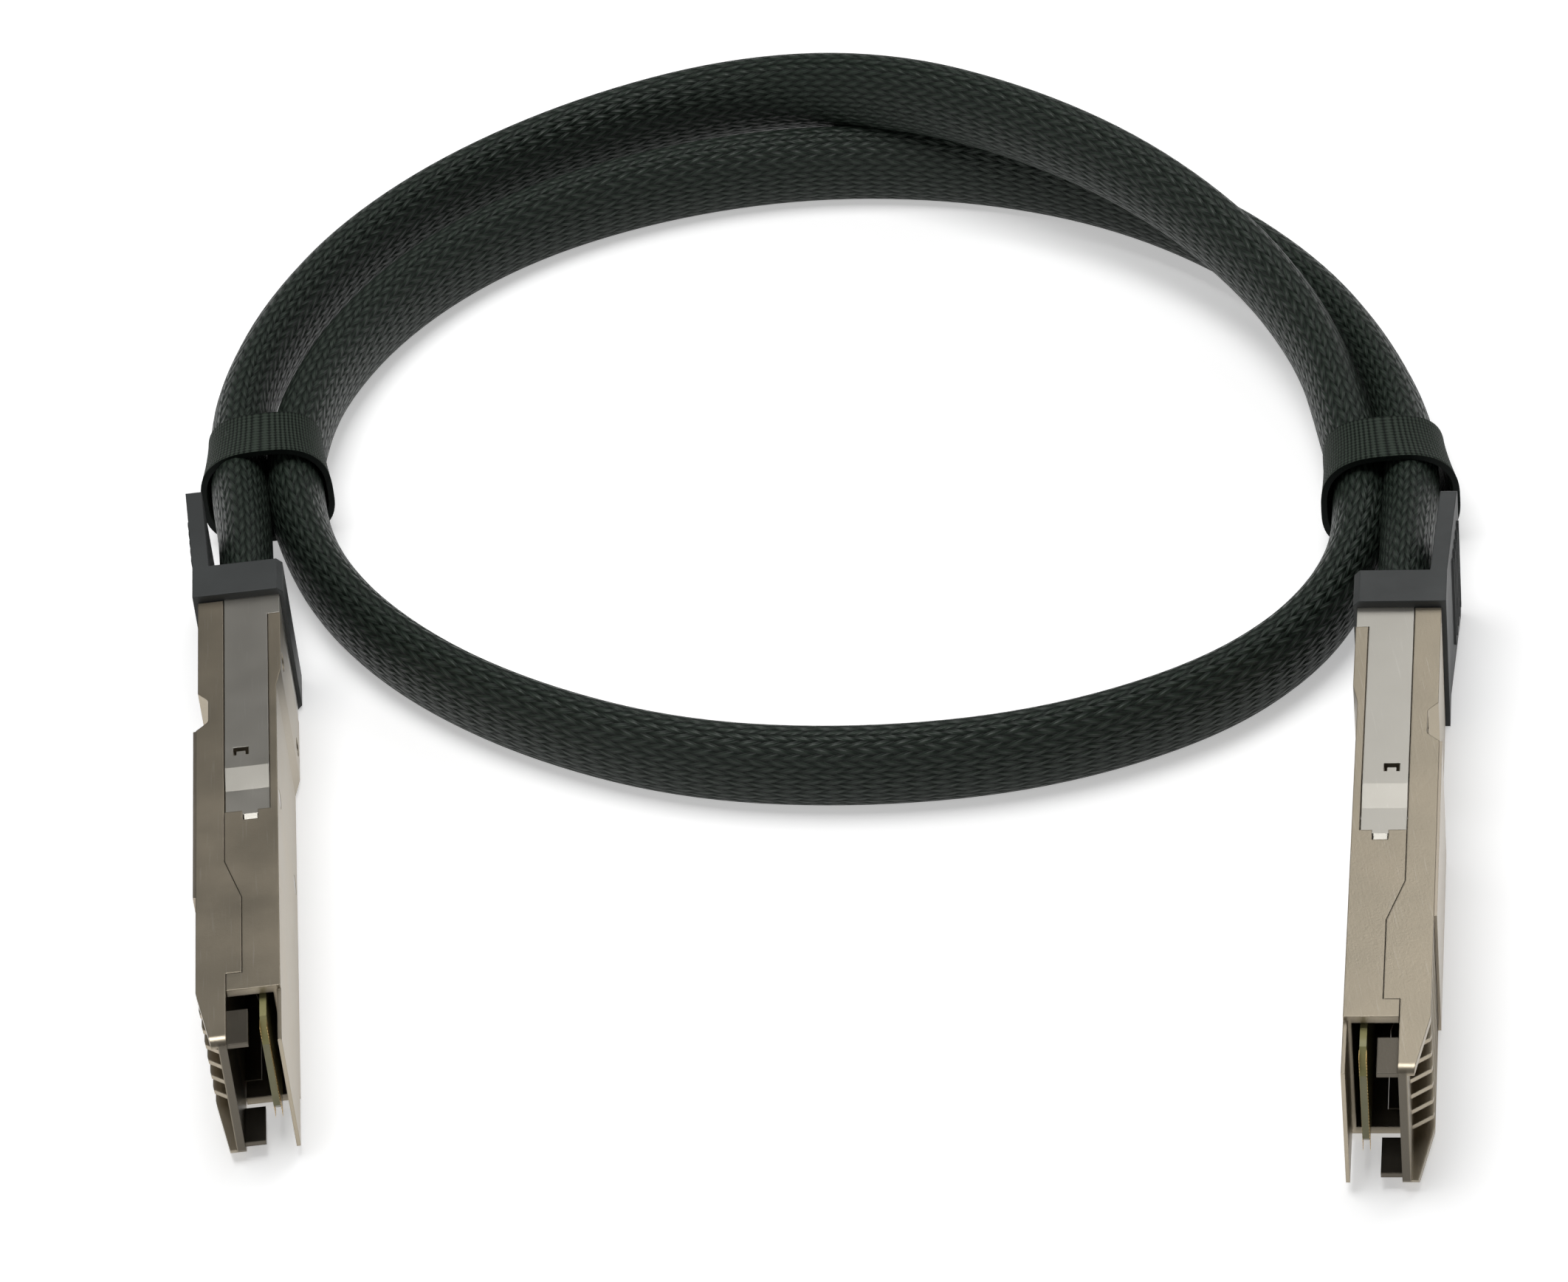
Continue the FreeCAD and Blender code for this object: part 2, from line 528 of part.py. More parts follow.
def return_springs():
    """One coil spring behind each arm's lanced lug."""
    radius = (size("spring_diameter") - size("spring_wire")) / 2
    pitch = (size("spring_length") - size("spring_wire")) / size("spring_turns")
    spots = [(2 * math.pi * i / SPRING_SIDES, pitch * i / SPRING_SIDES)
             for i in range(int(size("spring_turns") * SPRING_SIDES) + 1)]
    coil = Part.makePolygon([V(radius * math.cos(turn), radius * math.sin(turn), rise)
                             for turn, rise in spots])
    half = size("spring_wire") / 2
    corners = [V(radius + a * half, 0, b * half) for a, b in ((-1, -1), (1, -1), (1, 1), (-1, 1))]
    section = Part.makePolygon(corners + corners[:1])
    mitred = 1
    wire = coil.makePipeShell([section], True, True, mitred)
    springs = []
    for sign in (1, -1):
        spring = wire.copy()
        spring.Placement = FreeCAD.Placement(
            V(number(x_at("window_edge + window_width / 2")), number(SPRING_FRONT) + half,
              sign * (size("module_width") / 2 - number(SPRING_DROP))),
            FreeCAD.Rotation(V(0, 0, 1), V(0, 1, 0)))
        springs.append(spring)
    return solids_feature("springs", springs)


def module_place(side):
    """Both modules stand on a narrow side; the left one is turned half over, so that
    its fins face outwards too."""
    height = number("module_width / 2 + tab_proud")
    if side == "right":
        turn = FreeCAD.Rotation(V(0, 0, 1), -size("right_yaw"))
    else:
        turn = FreeCAD.Rotation(V(0, 1, 0), 180)
    return FreeCAD.Placement(V(size(side + "_x"), size(side + "_y"), height), turn)


# Cable route: points chosen along its one and a half turns, from the left collar
# to the right one. The first and last runs leave the collars straight.
EXIT_RUN = 16.0
REST = "cable_height / 2"
ROUTE = [
    (-93.2, 98.5, 11.0), (-94.0, 114.5, 9.3), (-92.6, 132.0, 8.2), (-86.0, 152.5, 7.4),
    (-73.6, 173.0, 7.2), (-54.6, 190.0, 7.6), (-30.0, 199.5, 10.0), (-3.1, 197.6, 15.4),
    (22.0, 184.5, 21.4), (44.0, 168.0, 22.2), (63.0, 149.5, 20.4), (77.6, 129.0, 16.4),
    (85.9, 108.0, 12.4), (88.0, 87.0, 9.8), (88.6, 68.6, 8.9), (84.0, 50.5, 7.8),
    (73.4, 35.1, 7.2), (56.4, 23.1, 7.2), (30.5, 16.0, 7.2), (2.5, 16.6, 7.2),
    (-24.6, 23.4, 7.2), (-48.0, 37.4, 7.2), (-66.4, 55.2, 7.2), (-79.0, 75.5, 7.4),
    (-84.6, 96.0, 8.8), (-84.4, 117.0, 9.0), (-77.6, 140.5, 7.6), (-64.0, 161.0, 7.2),
    (-44.6, 176.0, 7.2), (-20.1, 184.4, 7.2), (6.4, 186.0, 7.2), (32.5, 180.1, 7.2),
    (56.0, 168.0, 7.2), (74.9, 150.0, 7.2), (88.0, 128.5, 7.2), (95.2, 105.5, 7.6),
    (97.5, 83.5, 8.8), (95.2, 63.0, 10.4),
]


def exit_points(side):
    """The cable's end in a collar, and the point a straight run behind it."""
    place = module_place(side)
    x = number(x_at("cable_depth"))
    y = number(COLLAR_BACK)
    return [place.multVec(V(x, y + run, 0)) for run in (0, EXIT_RUN)]


def rounded_path(points):
    """Straight runs joined by tangent arcs, each as large as its two runs allow."""
    edges = []
    radii = []
    start = points[0]
    for before, corner, after in zip(points, points[1:], points[2:]):
        into = (corner - before).normalize()
        out = (after - corner).normalize()
        turn = into.getAngle(out)
        reach = 0.45 * min(corner.distanceToPoint(before), after.distanceToPoint(corner))
        radius = reach / math.tan(turn / 2)
        inner = (out - into).normalize()
        middle = corner + inner * (radius / math.cos(turn / 2) - radius)
        first = corner - into * reach
        last = corner + out * reach
        edges.append(Part.LineSegment(start, first).toShape())
        edges.append(Part.Arc(first, middle, last).toShape())
        radii.append(radius)
        start = last
    edges.append(Part.LineSegment(start, points[-1]).toShape())
    return Part.Wire(edges), radii


def cable_sleeve():
    """The braided cable: its oval section along the whole route, standing upright."""
    left_end, left_next = exit_points("left")
    right_end, right_next = exit_points("right")
    points = [left_end, left_next] + [V(*spot) for spot in ROUTE] + [right_next, right_end]
    path, radii = rounded_path(points)
    section = Part.Wire(flat_sided(size("cable_height"), size("cable_thickness"), CABLE_SIDES))
    # the section's long axis goes upright, its normal along the first run
    section.Placement = FreeCAD.Placement(left_end, FreeCAD.Rotation(V(1, 1, 1), 240))
    sweep = Part.BRepOffsetAPI.MakePipeShell(path)
    sweep.setBiNormalMode(V(0, 0, 1))
    sweep.add(section)
    sweep.setTransitionMode(0)
    sweep.build()
    sweep.makeSolid()
    tube = sweep.shape()
    area = Part.Face(section).Area
    print("cable: length %.1f, volume over section times length %.4f, radii %.0f to %.0f" % (
        path.Length, tube.Volume / area / path.Length, min(radii), max(radii)))
    print("cable radii:", " ".join("%.0f" % radius for radius in radii))
    item = doc.addObject("Part::Feature", "cable_sleeve")
    item.Shape = tube
    return item


def strap(side):
    """A flat woven band round both passes of the cable, its lapped end underneath."""
    wall = "strap_thickness"
    half_width = "(strap_gap + cable_thickness) / 2 + strap_clearance"
    outer = block(side + "_strap_outer", ("-(%s) - %s" % (half_width, wall), half_width + " + " + wall),
                  ("-strap_width / 2", "strap_width / 2"),
                  ("0", "cable_height + strap_arch + 2 * strap_thickness"))
    inner = block(side + "_strap_inner", ("-(%s)" % half_width, half_width),
                  ("-strap_width", "strap_width"),
                  (wall, "cable_height + strap_arch + strap_thickness"))
    doc.recompute()
    rounds = []
    for item, radius in ((outer, "cable_thickness / 2 + strap_thickness"), (inner, "cable_thickness / 2")):
        soft = doc.addObject("Part::Fillet", item.Name + "_round")
        soft.Base = item
        along = [i + 1 for i, e in enumerate(item.Shape.Edges)
                 if abs(e.Vertexes[0].Y - e.Vertexes[1].Y) > size("strap_width") / 2]
        soft.Edges = [(i, number(radius), number(radius)) for i in along]
        rounds.append(soft)
    band = cut(side + "_strap", rounds[0], rounds[1])
    band.Placement = FreeCAD.Placement(V(size(side + "_strap_x"), size(side + "_strap_y"), 0),
                                        FreeCAD.Rotation(V(0, 0, 1), size(side + "_strap_yaw")))
    return band


MASTERS = {}
MASTERS["top_shell"] = [finned_shell()]
MASTERS["bottom_shell"] = [plain_shell()]
MASTERS["shell_screws"] = shell_screws()
MASTERS["fin_cover"] = [fin_cover()]
MASTERS["release_slider"] = [release_slider()]
MASTERS["pull_tab"] = [pull_tab(MASTERS["release_slider"][0])]
MASTERS["paddle_card"] = [paddle_card()]
MASTERS["contact_pads"] = [contact_pads()]
MASTERS["copper_pairs"] = [copper_pairs()]
MASTERS["memory_chip"] = [memory_chip()]
MASTERS["cable_collar"] = [cable_collar()]
MASTERS["return_springs"] = [return_springs()]

NODES = []
for side in ("left", "right"):
    for piece, masters in MASTERS.items():
        node = doc.addObject("Part::Compound", "%s_%s" % (side, piece))
        node.Links = masters
        node.Placement = module_place(side)
        node.Label = "%s_%s" % (side, piece)
        NODES.append(node)

sleeve = cable_sleeve()
NODES.append(sleeve)
left_band = strap("left")
right_band = strap("right")
for node in (left_band, right_band):
    node.Label = node.Name
    NODES.append(node)

doc.recompute()

for item in doc.Objects:
    if "Invalid" in item.State or "Error" in item.State:
        raise RuntimeError("failed: %s %s" % (item.Name, item.State))
os.makedirs("parts", exist_ok=True)
for node in NODES:
    shape = node.Shape
    if shape.isNull() or not shape.isValid() or not shape.Solids:
        raise RuntimeError("no valid solid: " + node.Label)
for node in NODES:
    node.Shape.exportStep("parts/%s.step" % node.Label)
print(len(NODES), "nodes")
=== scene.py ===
import math

import bpy
from mathutils import Matrix, Vector


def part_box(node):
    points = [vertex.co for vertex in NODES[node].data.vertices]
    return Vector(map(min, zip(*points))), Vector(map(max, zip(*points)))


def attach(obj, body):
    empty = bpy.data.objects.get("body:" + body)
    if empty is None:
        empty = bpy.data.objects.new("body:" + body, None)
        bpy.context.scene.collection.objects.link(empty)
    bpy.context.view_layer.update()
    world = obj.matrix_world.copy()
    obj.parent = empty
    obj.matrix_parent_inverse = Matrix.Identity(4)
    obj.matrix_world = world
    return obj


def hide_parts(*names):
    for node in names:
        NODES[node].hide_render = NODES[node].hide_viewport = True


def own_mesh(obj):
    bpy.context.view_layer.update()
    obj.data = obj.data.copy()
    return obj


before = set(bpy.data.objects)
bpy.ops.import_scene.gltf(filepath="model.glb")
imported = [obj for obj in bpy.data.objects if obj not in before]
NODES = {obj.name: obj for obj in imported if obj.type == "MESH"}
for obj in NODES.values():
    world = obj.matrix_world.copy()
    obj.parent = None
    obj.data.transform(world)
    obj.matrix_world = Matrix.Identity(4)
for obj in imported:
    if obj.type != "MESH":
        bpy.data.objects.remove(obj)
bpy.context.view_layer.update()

# The looks of a direct attach copper cable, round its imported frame. Lengths are in metres.
# In a module's own frame x runs from the plain wide face to the finned one,
# y from the nose tip back, z across the width, as in the part's source.

MM = 0.001
SHELLS = "shells_and_cable"
SIDES = ("left", "right")

MODULE_WIDTH = 22.58 * MM
TAB_PROUD = 1.15 * MM
COLLAR_BACK = 115.0 * MM
CABLE_THICKNESS = 8.6 * MM
CABLE_HEIGHT = 14.4 * MM
CABLE_X = -0.7 * MM
# Bounds of the painted shade inside each module's mouth, in the module's own frame.
MOUTH_MIDDLE = 1.3 * MM
MOUTH_HALF = 4.0 * MM
MOUTH_DEPTH = 10.0 * MM
MOUTH_WALL = 1.2 * MM
MOUTH_EDGE = 0.3 * MM
MOUTH_FADE = 3.0 * MM

MODULE_PLACES = {
    "left": Matrix.Translation((-0.0928, -0.05006, MODULE_WIDTH / 2 + TAB_PROUD))
    @ Matrix.Rotation(math.pi, 4, "Y"),
    "right": Matrix.Translation((0.0708, -0.0843, MODULE_WIDTH / 2 + TAB_PROUD))
    @ Matrix.Rotation(math.radians(-9.5), 4, "Z"),
}


# ---- camera ----

def add_camera():
    """A long lens looking down at the part, rolled a little to the left."""
    place = Vector((-0.0071, -0.78375, 0.65546))
    target = Vector((-0.0071, 0.06, 0.0))
    roll = math.radians(-6.44)
    data = bpy.data.cameras.new("camera")
    data.sensor_width = 36.0
    data.lens = 152.5
    data.clip_start = 0.05
    data.clip_end = 20.0
    camera = bpy.data.objects.new("camera", data)
    bpy.context.collection.objects.link(camera)
    ahead = (target - place).normalized()
    level = ahead.cross(Vector((0, 0, 1))).normalized()
    above = level.cross(ahead)
    right = level * math.cos(roll) + above * math.sin(roll)
    up = right.cross(ahead)
    turn = Matrix((right, up, -ahead)).transposed()
    camera.matrix_world = Matrix.Translation(place) @ turn.to_4x4()
    bpy.context.scene.camera = camera


add_camera()


# ---- material helpers ----

def rgba(colour):
    """A written colour with its alpha. A socket stays as it is."""
    return (*colour, 1.0) if isinstance(colour, tuple) and len(colour) == 3 else colour


class Shader:
    """A material with short calls for its nodes."""

    def __init__(self, name, roughness=0.5, metallic=0.0):
        self.material = bpy.data.materials.new(name)
        self.material.use_nodes = True
        self.tree = self.material.node_tree
        self.surface = self.tree.nodes["Principled BSDF"]
        self.surface.inputs["Roughness"].default_value = roughness
        self.surface.inputs["Metallic"].default_value = metallic

    @classmethod
    def of(cls, material):
        """The same calls for a material that is made already."""
        made = cls.__new__(cls)
        made.material = material
        made.tree = material.node_tree
        made.surface = made.tree.nodes["Principled BSDF"]
        return made

    def node(self, kind, **settings):
        item = self.tree.nodes.new("ShaderNode" + kind)
        for key, value in settings.items():
            setattr(item, key, value)
        return item

    def put(self, socket, value):
        if isinstance(value, bpy.types.NodeSocket):
            self.tree.links.new(value, socket)
        else:
            socket.default_value = value

    def math(self, operation, first, second=0.0, third=0.0, clamp=False):
        item = self.node("Math", operation=operation, use_clamp=clamp)
        for socket, value in zip(item.inputs, (first, second, third)):
            self.put(socket, value)
        return item.outputs[0]

    def point(self):
        return self.node("TexCoord").outputs["Object"]

    def stretched(self, point, scale, turn=(0, 0, 0)):
        item = self.node("Mapping")
        self.put(item.inputs["Vector"], point)
        item.inputs["Scale"].default_value = scale
        item.inputs["Rotation"].default_value = turn
        return item.outputs[0]

    def noise(self, point, scale, detail=3.0, roughness=0.55):
        item = self.node("TexNoise")
        self.put(item.inputs["Vector"], point)
        item.inputs["Scale"].default_value = scale
        item.inputs["Detail"].default_value = detail
        item.inputs["Roughness"].default_value = roughness
        return item.outputs["Fac"]

    def ramp(self, value, *stops):
        item = self.node("ValToRGB")
        self.put(item.inputs[0], value)
        points = item.color_ramp.elements
        while len(points) < len(stops):
            points.new(0.5)
        for spot, (place, colour) in zip(points, stops):
            spot.position = place
            spot.color = rgba(colour)
        return item.outputs[0]

    def spread(self, value, low, high, to_low, to_high):
        item = self.node("MapRange")
        for socket, number in zip(item.inputs, (value, low, high, to_low, to_high)):
            self.put(socket, number)
        return item.outputs[0]

    def mix(self, share, first, second):
        item = self.node("Mix", data_type="RGBA")
        self.put(item.inputs["Factor"], share)
        for socket, value in ((item.inputs[6], first), (item.inputs[7], second)):
            self.put(socket, rgba(value))
        return item.outputs[2]

    def bump(self, height, distance, strength=1.0, edge=0.0):
        """Bump from a height, over edges rounded by a bevel of the given radius."""
        item = self.node("Bump")
        self.put(item.inputs["Height"], height)
        item.inputs["Distance"].default_value = distance
        item.inputs["Strength"].default_value = strength
        if edge:
            bevel = self.node("Bevel", samples=4)
            bevel.inputs["Radius"].default_value = edge
            self.put(item.inputs["Normal"], bevel.outputs[0])
        self.put(self.surface.inputs["Normal"], item.outputs[0])

    def set(self, **values):
        for key, value in values.items():
            socket = self.surface.inputs[key.replace("_", " ")]
            self.put(socket, rgba(value))
        return self.material


def cast_metal(name, colour, dark, roughness, grain=0.00003, edge=0.00025):
    """Nickel over a die cast or pressed surface: satin, cloudy, with faint scratches."""
    s = Shader(name, roughness, 1.0)
    point = s.point()
    cloud = s.noise(point, 90.0, 4.0)
    fine = s.noise(point, 2600.0, 2.0)
    scratch = s.noise(s.stretched(point, (1.0, 0.03, 1.0), (0.0, 0.0, 0.3)), 3800.0, 2.0)
    tone = s.mix(s.spread(cloud, 0.3, 0.7, 0.0, 1.0), dark, colour)
    s.set(Base_Color=s.mix(s.spread(scratch, 0.62, 0.75, 0.0, 0.12), tone, (0.9, 0.88, 0.85)),
          Roughness=s.spread(s.math("ADD", cloud, s.math("MULTIPLY", fine, 0.12)), 0.3, 0.8,
                             roughness - 0.02, roughness + 0.04))
    s.bump(s.math("ADD", fine, s.math("MULTIPLY", scratch, 0.5)), grain, 0.5, edge)
    return s.material


def shell_metal_and_mouth_shade(side):
    """The shells' nickel, with painted shade darkening the inside of the mouth."""
    material = cast_metal(side + "_shell_nickel", (0.425, 0.37, 0.285), (0.375, 0.33, 0.255), 0.36)
    s = Shader.of(material)
    back = MODULE_PLACES[side].inverted()
    local = s.node("Mapping")
    s.put(local.inputs["Vector"], s.point())
    local.inputs["Location"].default_value = back.translation
    local.inputs["Rotation"].default_value = back.to_euler()
    parts = s.node("SeparateXYZ")
    s.put(parts.inputs[0], local.outputs[0])
    # Mask of painted shade: within the mouth's walls and edges, fading out towards its depth.
    mouth_shade_parts = [
        s.spread(s.math("ABSOLUTE", parts.outputs[2]), MODULE_WIDTH / 2 - MOUTH_WALL,
                 MODULE_WIDTH / 2 - MOUTH_EDGE, 1.0, 0.0),
        s.spread(s.math("ABSOLUTE", s.math("ADD", parts.outputs[0], MOUTH_MIDDLE)), MOUTH_HALF,
                 MOUTH_HALF + MOUTH_EDGE, 1.0, 0.0),
        s.spread(parts.outputs[1], MOUTH_DEPTH, MOUTH_DEPTH + MOUTH_FADE, 1.0, 0.0),
    ]
    share = s.math("MULTIPLY", s.math("MULTIPLY", mouth_shade_parts[0], mouth_shade_parts[1]), mouth_shade_parts[2], clamp=True)
    plain = s.surface.inputs["Base Color"].links[0].from_socket
    # Painted shade: inside the mouth the base colour is pulled towards a near-black brown.
    s.set(Base_Color=s.mix(s.math("MULTIPLY", share, 0.8), plain, (0.058, 0.054, 0.047)))
    return s.material


def brushed_metal(name, colour, roughness, along):
    """Sheet with brush lines along one axis of the assembly."""
    s = Shader(name, roughness, 1.0)
    scale = [1.0, 1.0, 1.0]
    scale[along] = 0.02
    lines = s.noise(s.stretched(s.point(), tuple(scale)), 5200.0, 3.0, 0.7)
    cloud = s.noise(s.point(), 120.0, 3.0)
    darker = tuple(part * 0.86 for part in colour)
    s.set(Base_Color=s.mix(lines, darker, colour),
          Roughness=s.spread(s.math("ADD", lines, cloud), 0.6, 1.4, roughness - 0.05, roughness + 0.08))
    s.bump(lines, 0.00001, 0.35, 0.00012)
    return s.material


def moulded(name, colour, roughness, grain_scale=3000.0, grain=0.00002, edge=0.0003):
    """Moulded plastic with spark-eroded grain and rubbed patches."""
    s = Shader(name, roughness)
    point = s.point()
    grains = s.noise(point, grain_scale, 3.0, 0.6)
    rubbed = s.noise(point, 70.0, 4.0)
    lighter = tuple(min(1.0, part * 1.35 + 0.006) for part in colour)
    s.set(Base_Color=s.mix(s.spread(rubbed, 0.35, 0.8, 0.0, 1.0), colour, lighter),
          Roughness=s.spread(rubbed, 0.3, 0.75, roughness + 0.05, roughness - 0.07))
    s.bump(grains, grain, 0.6, edge)
    return s.material


def dress(node, material):
    """Gives a CAD node another material."""
    item = NODES[node]
    item.data.materials.clear()
    item.data.materials.append(material)
    for face in item.data.polygons:
        face.material_index = 0


# ---- the module's pieces ----

SHELLS_OF = {side: shell_metal_and_mouth_shade(side) for side in SIDES}
COVER = cast_metal("cover_nickel", (0.47, 0.41, 0.33), (0.41, 0.36, 0.29), 0.30, 0.000004, 0.0001)
SLIDER = cast_metal("slider_steel", (0.54, 0.52, 0.47), (0.51, 0.49, 0.44), 0.34, 0.000002, 0.00015)
COLLAR = brushed_metal("collar_steel", (0.50, 0.49, 0.46), 0.36, 2)
SCREW = cast_metal("screw_nickel", (0.55, 0.53, 0.50), (0.45, 0.43, 0.41), 0.30)
WIRE = cast_metal("spring_wire", (0.6, 0.6, 0.6), (0.5, 0.5, 0.5), 0.25, 0.00001, 0.0)
TAB = moulded("tab_plastic", (0.029, 0.032, 0.032), 0.55)
CHIP = moulded("chip_plastic", (0.02, 0.02, 0.022), 0.45, 4000.0, 0.00001, 0.0001)
JACKET = moulded("pair_jacket", (0.38, 0.39, 0.40), 0.4, 2500.0, 0.00001, 0.0)


def board_material():
    """Green solder mask, with the laminate showing through as a faint weave."""
    s = Shader("card_board", 0.35)
    point = s.point()
    weave = s.node("TexWave", wave_type="BANDS", bands_direction="Z")
    s.put(weave.inputs["Vector"], point)
    weave.inputs["Scale"].default_value = 900.0
    tint = s.noise(point, 260.0, 3.0)
    s.set(Base_Color=s.mix(tint, (0.20, 0.20, 0.075), (0.33, 0.30, 0.14)), Coat_Weight=0.3)
    s.bump(weave.outputs["Fac"], 0.00001, 0.3)
    return s.material


def gold_material():
    s = Shader("pad_gold", 0.22, 1.0)
    rub = s.noise(s.stretched(s.point(), (1.0, 0.1, 1.0)), 5000.0)
    s.set(Base_Color=s.mix(rub, (0.86, 0.62, 0.26), (0.78, 0.54, 0.22)))
    s.bump(rub, 0.000005, 0.4)
    return s.material


BOARD = board_material()
GOLD = gold_material()
FINISHES = {
    "fin_cover": COVER, "release_slider": SLIDER,
    "pull_tab": TAB, "paddle_card": BOARD, "contact_pads": GOLD, "memory_chip": CHIP,
    "copper_pairs": JACKET, "cable_collar": COLLAR, "return_springs": WIRE, "shell_screws": SCREW,
}
for side in SIDES:
    for piece, finish in FINISHES.items():
        dress("%s_%s" % (side, piece), finish)
    for piece in ("top_shell", "bottom_shell"):
        dress("%s_%s" % (side, piece), SHELLS_OF[side])


# ---- the springs ----


def compress_springs(side):
    """Gives the springs a mesh of their own."""
    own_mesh(NODES[side + "_return_springs"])


for side in SIDES:
    compress_springs(side)


# ---- the cable ----

STRAPS = {"left": (-89.1, 110.0, 0.0), "right": (92.7, 74.0, -3.0)}
SQUEEZE = 0.45 * MM
SQUEEZE_FLAT = 9.0 * MM
SQUEEZE_REACH = 12.0 * MM
EXIT_RUN = 16.0 * MM
ROUTE = [
    (-93.2, 98.5, 11.0), (-94.0, 114.5, 9.3), (-92.6, 132.0, 8.2), (-86.0, 152.5, 7.4),
    (-73.6, 173.0, 7.2), (-54.6, 190.0, 7.6), (-30.0, 199.5, 10.0), (-3.1, 197.6, 15.4),
    (22.0, 184.5, 21.4), (44.0, 168.0, 22.2), (63.0, 149.5, 20.4), (77.6, 129.0, 16.4),
    (85.9, 108.0, 12.4), (88.0, 87.0, 9.8), (88.6, 68.6, 8.9), (84.0, 50.5, 7.8),
    (73.4, 35.1, 7.2), (56.4, 23.1, 7.2), (30.5, 16.0, 7.2), (2.5, 16.6, 7.2),
    (-24.6, 23.4, 7.2), (-48.0, 37.4, 7.2), (-66.4, 55.2, 7.2), (-79.0, 75.5, 7.4),
    (-84.6, 96.0, 8.8), (-84.4, 117.0, 9.0), (-77.6, 140.5, 7.6), (-64.0, 161.0, 7.2),
    (-44.6, 176.0, 7.2), (-20.1, 184.4, 7.2), (6.4, 186.0, 7.2), (32.5, 180.1, 7.2),
    (56.0, 168.0, 7.2), (74.9, 150.0, 7.2), (88.0, 128.5, 7.2), (95.2, 105.5, 7.6),
    (97.5, 83.5, 8.8), (95.2, 63.0, 10.4),
]


def exit_points(side):
    return [MODULE_PLACES[side] @ Vector((CABLE_X, COLLAR_BACK + run, 0)) for run in (0.0, EXIT_RUN)]


def cable_line():
    """The points of a smooth curve along the route."""
    left_end, left_next = exit_points("left")
    right_end, right_next = exit_points("right")
    points = [left_end, left_next] + [Vector(spot) * MM for spot in ROUTE] + [right_next, right_end]
    data = bpy.data.curves.new("cable_route", "CURVE")
    data.dimensions = "3D"
    data.resolution_u = 16
    spline = data.splines.new("NURBS")
    spline.points.add(len(points) - 1)
    for slot_point, spot in zip(spline.points, points):
        slot_point.co = (*spot, 1.0)
    spline.order_u = 3
    spline.use_endpoint_u = True
    carrier = bpy.data.objects.new("cable_route", data)
    bpy.context.collection.objects.link(carrier)
    line = [vertex.co.copy() for vertex in bpy.data.meshes.new_from_object(carrier).vertices]
    bpy.data.objects.remove(carrier)
    return line


def squeeze(spot):
    """How far the passes bulge towards each other under a strap."""
    away = min(math.dist((spot.x, spot.y), (x * MM, y * MM)) for x, y, _ in STRAPS.values())
    return SQUEEZE * math.exp(-(max(0.0, away - SQUEEZE_FLAT) / SQUEEZE_REACH) ** 2)


def sweep(name, line, ring, perimeter):
    """A tube of an upright section along a line, with lengths along it and round it as its UV."""
    count = len(ring)
    travelled = [0.0]
    for before, after in zip(line, line[1:]):
        travelled.append(travelled[-1] + (after - before).length)
    vertices = []
    for i, spot in enumerate(line):
        ahead = (line[min(i + 1, len(line) - 1)] - line[max(i - 1, 0)]).normalized()
        aside = Vector((0, 0, 1)).cross(ahead).normalized()
        up = ahead.cross(aside)
        wider = 1.0 + squeeze(spot) / (CABLE_THICKNESS / 2)
        vertices += [spot + aside * a * wider + up * b for a, b in ring]
    faces = []
    for i in range(len(line) - 1):
        for j in range(count):
            k = (j + 1) % count
            faces.append((i * count + j, i * count + k, (i + 1) * count + k, (i + 1) * count + j))
    faces.append(tuple(range(count))[::-1])
    faces.append(tuple(range((len(line) - 1) * count, len(line) * count)))
    mesh = bpy.data.meshes.new(name)
    mesh.from_pydata(vertices, [], faces)
    layer = mesh.uv_layers.new(name="braid")
    for face in mesh.polygons:
        face.use_smooth = len(face.vertices) == 4
        for loop, vertex in zip(face.loop_indices, face.vertices):
            i, j = divmod(vertex, count)
            if j == 0 and len(face.vertices) == 4 and max(v % count for v in face.vertices) == count - 1:
                j = count
            layer.data[loop].uv = (travelled[i], perimeter * j / count)
    item = bpy.data.objects.new(name, mesh)
    bpy.context.collection.objects.link(item)
    return item, travelled[-1]


def oval_ring(count):
    """Points of the cable's oval section, evenly spaced round it, and its perimeter."""
    fine = [(math.cos(t) * CABLE_THICKNESS / 2, math.sin(t) * CABLE_HEIGHT / 2)
            for t in (math.tau * i / 2000 for i in range(2001))]
    lengths = [0.0]
    for a, b in zip(fine, fine[1:]):
        lengths.append(lengths[-1] + math.dist(a, b))
    ring = []
    i = 0
    for step in range(count):
        while lengths[i] < lengths[-1] * step / count:
            i += 1
        ring.append(fine[i])
    return ring, lengths[-1]


BRAID_ROWS = 36
BRAID_PITCH = 3.4 * MM


